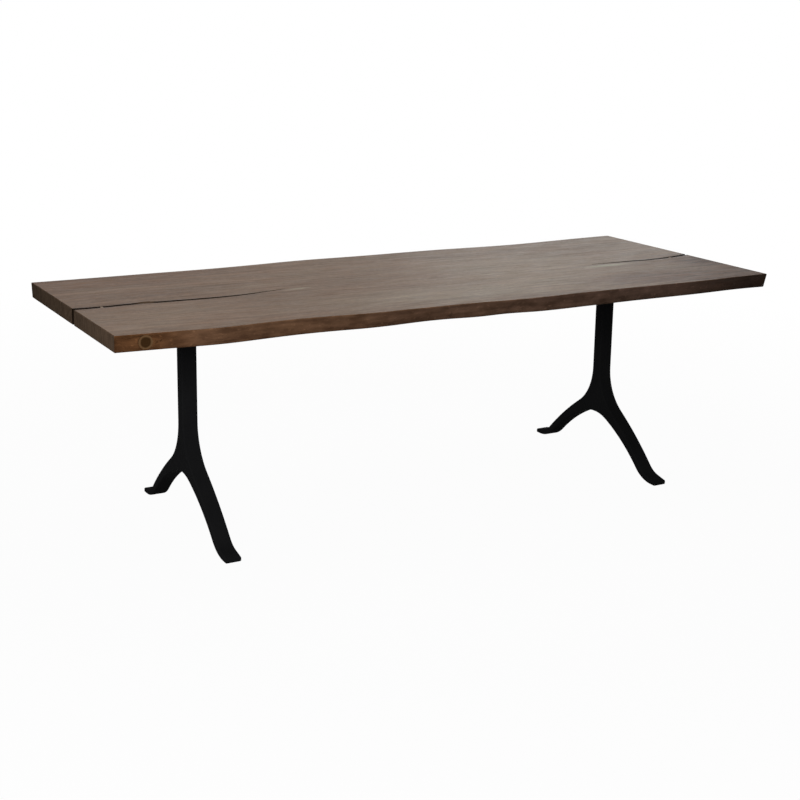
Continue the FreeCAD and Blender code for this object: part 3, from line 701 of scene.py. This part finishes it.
def halve_long_edges(shape, kind, longest):
    """Halve the edges of one kind of face until none is longer than that: the longest ones first,
    so that the triangles keep a good shape."""
    limit = 32 * longest
    while limit >= longest:
        far = [
            edge for edge in shape.edges if edge.calc_length() > limit
            and any(face.material_index == kind for face in edge.link_faces)]
        bmesh.ops.subdivide_edges(shape, edges=far, cuts=1)
        bmesh.ops.triangulate(shape, faces=[face for face in shape.faces if len(face.verts) > 3])
        limit /= 2


def edge_depth(look, place):
    """How deep the natural edge is dented at a place: broad dents, and ridges along the log. Both
    die out towards the arrises."""
    along, across = place.x / look.dent_length, place.y * 4
    broad = noise.fractal(Vector((along, across, place.z / look.dent_length * 2)), *OCTAVES)
    ridge = noise.noise(Vector((along, across, place.z / look.ridge_width)))
    dent = look.dent_depth * clamp(0.5 + 0.6 * broad)
    # nothing less than 3 mm from a planed face, and all of it 11 mm further in
    inward = clamp((from_planed_face(place) - 3 * MM) / (11 * MM))
    return inward * (dent + look.ridge_depth * min(abs(ridge) * 1.6, 1))


def split_depth(place, facing):
    """How deep the wall of a split is torn at a place, with a chip off the left one's back wall."""
    tear_length, tear_height, tear_depth = 35 * MM, 20 * MM, 1.6 * MM
    ragged = noise.fractal(
        Vector((place.x / tear_length, facing.y, place.z / tear_height)), *OCTAVES)
    chip = math.exp(-((place.x - CHIP) / CHIP_LENGTH) ** 2) if facing.y < 0 else 0
    upper = clamp(1 - (SLAB_HIGH.z - place.z) / CHIP_DEPTH)
    return tear_depth * clamp(0.4 + ragged) + CHIP_DEPTH * chip * upper


def carve(shape, look):
    """Dent the natural edges and tear the walls of the splits. Each point only moves into the wood,
    across the slab, so that the planed faces stay flat, and not beside a plug or a packer."""
    margin = 20 * MM
    seats = [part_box(name) for name in ("edge_plug_front", "edge_plug_back")]
    seats += [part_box(f"split_packer_{side}") for side in SIDES]
    moves = []
    for point in shape.verts:
        kinds = {face.material_index for face in point.link_faces}
        if kinds == {NATURAL}:
            depth = edge_depth(look, point.co)
        elif TORN in kinds:
            depth = split_depth(point.co, point.normal)
        else:
            continue
        away = min(max(low.x - point.co.x, point.co.x - high.x) for low, high in seats)
        moves.append((point, point.normal.y * depth * clamp(away / margin)))
    for point, move in moves:
        point.co.y -= move


def live_edge_slab(look):
    """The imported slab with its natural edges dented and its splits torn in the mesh."""
    mesh_step, crease = 8 * MM, math.radians(40)
    shape = packed_copy("slab_top")
    for face in shape.faces:
        face.material_index = kind_of_face(face)
    flat = [face for face in shape.faces if face.material_index == PLANED]
    bmesh.ops.delete(shape, geom=flat, context="FACES")
    halve_long_edges(shape, NATURAL, mesh_step)
    halve_long_edges(shape, TORN, mesh_step)
    shape.normal_update()
    carve(shape, look)

    # the planed faces go back on as flat sheets
    for level, facing in ((SLAB_HIGH.z, (0, 0, 1)), (SLAB_LOW.z, (0, 0, -1))):
        rim = [
            edge for edge in shape.edges
            if edge.is_boundary and all(abs(point.co.z - level) < SLACK for point in edge.verts)]
        sheet = bmesh.ops.triangle_fill(shape, edges=rim, use_beauty=True, normal=facing)
        faces = [part for part in sheet["geom"] if isinstance(part, bmesh.types.BMFace)]
        if not faces:
            raise RuntimeError("the slab's rim is not closed")
        for face in faces:
            face.material_index = PLANED
    finish_of = {ARRIS: NATURAL, BORED: TORN}
    for face in shape.faces:
        face.smooth = True
        face.material_index = finish_of.get(face.material_index, face.material_index)
    bmesh.ops.recalc_face_normals(shape, faces=shape.faces)
    for edge in shape.edges:
        kinds = {face.material_index for face in edge.link_faces}
        is_flat = len(kinds) == 1 and edge.calc_face_angle(0) < crease
        edge.smooth = kinds == {NATURAL} or is_flat

    finishes = [finish(look) for finish in (planed_wood, natural_edge, sawn_end, torn_wood)]
    slab = new_object("live_edge_slab", shape, finishes)
    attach(slab, "root")
    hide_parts("slab_top")


def belly_rounding(shape, low, high):
    """The faces of the rounding along both sides of a casting's belly, from toe to toe."""
    middle = (low + high) / 2
    reach = high.y - middle.y - NOSE_ROUND

    def is_rounded(face):
        place = face.calc_center_median() - middle
        is_between = LEG_HALF - LEG_ROUND + SLACK < abs(place.x) < LEG_HALF - SLACK
        return is_between and abs(place.y) < reach and place.z < 0

    found = set()
    waiting = [face for face in shape.faces if face.normal.z < -0.9 and is_rounded(face)]
    while waiting:
        face = waiting.pop()
        if face not in found and is_rounded(face):
            found.add(face)
            waiting += [other for edge in face.edges for other in edge.link_faces]
    return list(found)


def sweep_rounding(shape, rail, sideways, steps):
    """Sweep a quarter arc along a rail, the edge of the belly's wall, to the casting's side."""
    centres = {}
    for point in {point for edge in rail for point in edge.verts}:
        walls = [edge.link_faces[0].normal for edge in point.link_edges if edge in rail]
        out = sum(walls, Vector()).normalized()
        centres[point] = (point.co - out * LEG_ROUND, out)
    for step in range(1, steps + 1):
        turn = math.pi / 2 * step / steps
        made = bmesh.ops.extrude_edge_only(shape, edges=rail)["geom"]
        points = [part for part in made if isinstance(part, bmesh.types.BMVert)]
        rail = [
            part for part in made if isinstance(part, bmesh.types.BMEdge)
            and all(point in points for point in part.verts)]
        swept = {}
        for point in points:
            others = [edge.other_vert(point) for edge in point.link_edges]
            behind = next(other for other in others if other in centres)
            centre, out = swept[point] = centres[behind]
            point.co = centre + LEG_ROUND * (math.cos(turn) * out + math.sin(turn) * sideways)
        centres = swept


def open_edges(shape, middle, out):
    """The open edges that lie so far out from a casting's middle plane."""
    return [
        edge for edge in shape.edges if edge.is_boundary
        and all(abs(point.co.x - middle.x - out) < SLACK for point in edge.verts)]


def kind_of_casting_face(face):
    """Whether a face of a casting lies along its outline, on a rounding or on a flat side."""
    sideways = abs(face.normal.x)
    if sideways < 0.001:
        return OUTLINE
    return FLAT if sideways > 0.9999 else ROUNDED


def cast_leg(side, iron):
    """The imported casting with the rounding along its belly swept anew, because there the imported
    mesh cuts across the arcs in long triangles."""
    crease, seam = math.radians(30), 0.1 * MM
    node = f"leg_{side}"
    low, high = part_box(node)
    middle = (low + high) / 2
    shape = packed_copy(node)
    flat = [
        face for face in shape.faces if kind_of_casting_face(face) == FLAT
        and abs(abs(face.calc_center_median().x - middle.x) - LEG_HALF) < SLACK]
    bmesh.ops.delete(shape, geom=belly_rounding(shape, low, high) + flat, context="FACES")
    # each of the four ends of the gaps is an arc of as many edges as the new rounding gets
    arcs = [
        edge for edge in shape.edges
        if edge.is_boundary and abs(edge.verts[0].co.x - edge.verts[1].co.x) > SLACK]
    for facing in (-1, 1):
        rail = open_edges(shape, middle, facing * (LEG_HALF - LEG_ROUND))
        sweep_rounding(shape, rail, Vector((facing, 0, 0)), len(arcs) // 4)
    open_points = [point for point in shape.verts if point.is_boundary]
    bmesh.ops.remove_doubles(shape, verts=open_points, dist=seam)
    for facing in (-1, 1):
        rim = open_edges(shape, middle, facing * LEG_HALF)
        bmesh.ops.triangle_fill(shape, edges=rim, use_beauty=True, normal=(facing, 0, 0))
    if any(edge.is_boundary for edge in shape.edges):
        raise RuntimeError(f"the copy of {node} is not closed")
    bmesh.ops.recalc_face_normals(shape, faces=shape.faces)
    for face in shape.faces:
        face.smooth = True
    for edge in shape.edges:
        kinds = {kind_of_casting_face(face) for face in edge.link_faces}
        edge.smooth = len(kinds) == 1 and edge.calc_face_angle(0) < crease

    casting = new_object(f"cast_leg_{side}", shape, [iron])
    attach(casting, "root")
    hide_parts(node)


class TABLE_OT_slab(Operator):
    """Carve the live-edge slab and finish it in oiled suar wood"""
    bl_idname = "table.slab"
    bl_label = "Slab"

    def execute(self, context):
        live_edge_slab(context.scene.table_wood)
        return {"FINISHED"}


class TABLE_OT_plugs(Operator):
    """Finish the round edge plugs and the packers in the splits"""
    bl_idname = "table.plugs"
    bl_label = "Plugs and packers"

    def execute(self, context):
        look = context.scene.table_wood
        for name in ("edge_plug_front", "edge_plug_back"):
            dress(plug_wood(look, name), [name])
        # slips of pale suar, sanded flush: matt, with a short grain
        packer = grained_surface(
            "packer_wood", look.top_pale, grain=4 * MM, depth=0.3 * MM, roughness=0.6,
            gloss=look.gloss)
        dress(packer, [f"split_packer_{side}" for side in SIDES])
        return {"FINISHED"}


class TABLE_OT_legs(Operator):
    """Sweep the castings' belly roundings anew and finish the castings in matt black paint"""
    bl_idname = "table.legs"
    bl_label = "Legs"

    def execute(self, context):
        look = context.scene.table_metal
        # thick paint on sand-cast iron: a grainy, uneven black skin that hardly shines
        iron = grained_surface(
            "painted_cast_iron", look.iron, grain=look.sand_grain, depth=0.8 * MM, roughness=0.85,
            gloss=0.004)
        for side in SIDES:
            cast_leg(side, iron)
        return {"FINISHED"}


class TABLE_OT_head_plates(Operator):
    """Finish the head plates and the flange bolts in black powder coat"""
    bl_idname = "table.head_plates"
    bl_label = "Head plates"

    def execute(self, context):
        look = context.scene.table_metal
        # powder coat that has flowed out: half matt, with a slight orange peel
        coat = grained_surface(
            "powder_coated_steel", look.steel, grain=1.5 * MM, depth=0.15 * MM, roughness=0.5,
            gloss=0.1)
        kinds = ("head_plate", "flange_bolts", "flange_washers")
        dress(coat, [f"{kind}_{side}" for kind in kinds for side in SIDES])
        return {"FINISHED"}


class TABLE_OT_fasteners(Operator):
    """Finish the tie rods, nuts, screws, washers and inserts in plain metal"""
    bl_idname = "table.fasteners"
    bl_label = "Fasteners"

    def execute(self, context):
        look = context.scene.table_metal
        # electroplated zinc: grey metal, a little clouded
        zinc = grained_surface(
            "zinc_plated_steel", look.zinc, grain=3 * MM, depth=0.05 * MM, roughness=0.38,
            metallic=1.0)
        kinds = ("tie_rod", "tie_washer", "tie_nut", "plate_screws", "plate_washers")
        dress(zinc, [f"{kind}_{side}" for kind in kinds for side in SIDES])
        # turned brass, dulled a little by handling
        brass = grained_surface(
            "turned_brass", look.brass, grain=3 * MM, depth=0.05 * MM, roughness=0.35, metallic=1.0)
        dress(brass, [f"threaded_inserts_{side}" for side in SIDES])
        return {"FINISHED"}


class TABLE_OT_pads(Operator):
    """Finish the foot pads in pressed felt"""
    bl_idname = "table.pads"
    bl_label = "Foot pads"

    def execute(self, context):
        look = context.scene.table_metal
        # pressed fibres, drawn coarse enough to show: a dull fuzz
        felt = grained_surface(
            "pressed_felt", look.felt, grain=0.8 * MM, depth=0.4 * MM, roughness=0.9, gloss=0.1)
        dress(felt, [f"foot_pad_{side}_{end}" for side in SIDES for end in ("front", "back")])
        return {"FINISHED"}


class TABLE_OT_stage(Operator):
    """Lay the floor, hang the lights and set up the camera"""
    bl_idname = "table.stage"
    bl_label = "Stage"

    def execute(self, context):
        look = context.scene.table_stage
        lay_floor(look)
        light_room(context.scene)
        set_camera(context.scene, look)
        return {"FINISHED"}


def seen_directly(tree):
    """1 where the camera sees a surface, mirrored or through glass too, and 0 for other light."""
    path = add(tree, "ShaderNodeLightPath").outputs
    mirrored = add(
        tree, "ShaderNodeMath",
        {0: path["Is Camera Ray"], 1: path["Is Glossy Ray"]}, operation="ADD").outputs[0]
    return add(
        tree, "ShaderNodeMath", {0: mirrored, 1: path["Is Transmission Ray"]}, operation="ADD",
        use_clamp=True).outputs[0]


def lay_floor(look):
    """A wide pale floor that keeps the table's shadow, turns white away from it, and can be looked
    through from below."""
    half_width, under_pads = 30, 0.1 * MM
    shape = bmesh.new()
    bmesh.ops.create_grid(shape, x_segments=1, y_segments=1, size=half_width)
    bmesh.ops.translate(shape, verts=shape.verts, vec=(0, 0, -under_pads))
    material, tree = new_material("pale_floor")
    floor = new_object("floor", shape, [material])

    place = add(tree, "ShaderNodeTexCoord").outputs["Object"]
    reach = add(tree, "ShaderNodeVectorMath", {0: place}, operation="LENGTH").outputs["Value"]
    far = add(
        tree, "ShaderNodeMapRange",
        {"Value": reach, "From Min": 1.5, "From Max": 4.0, "To Min": 0.97}).outputs[0]
    glow = add(
        tree, "ShaderNodeMath", {0: far, 1: seen_directly(tree)}, operation="MULTIPLY").outputs[0]
    matt = add(tree, "ShaderNodeBsdfDiffuse", {"Color": look.floor}).outputs[0]
    white = add(tree, "ShaderNodeEmission", {"Color": (1, 1, 1, 1), "Strength": 1.0}).outputs[0]
    pale = add(tree, "ShaderNodeMixShader", {0: glow, 1: matt, 2: white}).outputs[0]
    clear = add(tree, "ShaderNodeBsdfTransparent").outputs[0]
    below = add(tree, "ShaderNodeNewGeometry").outputs["Backfacing"]
    whole = add(tree, "ShaderNodeMixShader", {0: below, 1: pale, 2: clear}).outputs[0]
    add(tree, "ShaderNodeOutputMaterial", {"Surface": whole})


def light_room(scene):
    """Soft boxes over and in front of the table, in a pale room that the camera sees as white."""
    for name, place, aim, size, power in (
        ("box_over", (0.0, 0.6, 3.6), (0.0, 0.1, 0.76), (4.0, 2.0), 68),
        ("box_front", (-2.6, -2.6, 1.7), (-0.7, -0.3, 0.7), (1.6, 1.2), 60),
        ("box_back", (3.0, 3.4, 1.6), (0.7, 0.2, 0.76), (2.0, 1.2), 14),
    ):
        lamp = bpy.data.lights.new(name, "AREA")
        lamp.shape = "RECTANGLE"
        lamp.size, lamp.size_y = size
        lamp.energy = power
        holder = bpy.data.objects.new(name, lamp)
        holder.location = place
        holder.rotation_euler = (Vector(aim) - Vector(place)).to_track_quat("-Z", "Y").to_euler()
        holder.visible_camera = False
        scene.collection.objects.link(holder)

    world = bpy.data.worlds.new("pale_room")
    world.use_nodes = True
    tree = world.node_tree
    tree.nodes.clear()
    strength = add(
        tree, "ShaderNodeMapRange",
        {"Value": seen_directly(tree), "To Min": 0.2, "To Max": 1.0}).outputs[0]
    room = add(
        tree, "ShaderNodeBackground", {"Color": (1, 1, 1, 1), "Strength": strength}).outputs[0]
    add(tree, "ShaderNodeOutputWorld", {"Surface": room})
    scene.world = world
    scene.view_settings.view_transform = "Standard"


def set_camera(scene, look):
    """The photograph's camera: its place, its three angles and its lens."""
    lens = bpy.data.cameras.new("camera")
    lens.lens = look.lens
    lens.sensor_width = 36
    lens.shift_y = look.shift
    lens.clip_end = 100
    camera = bpy.data.objects.new("camera", lens)
    heading = Matrix.Rotation(-look.heading, 4, "Z")
    tilt = Matrix.Rotation(math.pi / 2 - look.tilt, 4, "X")
    roll = Matrix.Rotation(look.roll, 4, "Z")
    camera.matrix_world = Matrix.Translation(look.camera_place) @ (heading @ tilt @ roll)
    scene.collection.objects.link(camera)
    scene.camera = camera


class TABLE_PT_panel(Panel):
    """The table's finishes and its stage"""
    bl_label = "Table"
    bl_idname = "TABLE_PT_panel"
    bl_space_type = "VIEW_3D"
    bl_region_type = "UI"
    bl_category = "Table"

    def draw(self, context):
        for operator in OPERATORS:
            self.layout.operator(operator.bl_idname)
        for name in LOOKS:
            box = self.layout.box()
            look = getattr(context.scene, name)
            for key in look.__annotations__:
                box.prop(look, key)


LOOKS = {"table_wood": TableWood, "table_metal": TableMetal, "table_stage": TableStage}
OPERATORS = (
    TABLE_OT_slab, TABLE_OT_plugs, TABLE_OT_legs, TABLE_OT_head_plates, TABLE_OT_fasteners,
    TABLE_OT_pads, TABLE_OT_stage)


def register():
    for kind in (*LOOKS.values(), *OPERATORS, TABLE_PT_panel):
        bpy.utils.register_class(kind)
    for name, kind in LOOKS.items():
        setattr(bpy.types.Scene, name, PointerProperty(type=kind))


def unregister():
    for name in LOOKS:
        delattr(bpy.types.Scene, name)
    for kind in reversed((*LOOKS.values(), *OPERATORS, TABLE_PT_panel)):
        bpy.utils.unregister_class(kind)


def main():
    register()
    bpy.ops.table.slab()
    bpy.ops.table.plugs()
    bpy.ops.table.legs()
    bpy.ops.table.head_plates()
    bpy.ops.table.fasteners()
    bpy.ops.table.pads()
    bpy.ops.table.stage()


if __name__ == "__main__":
    main()
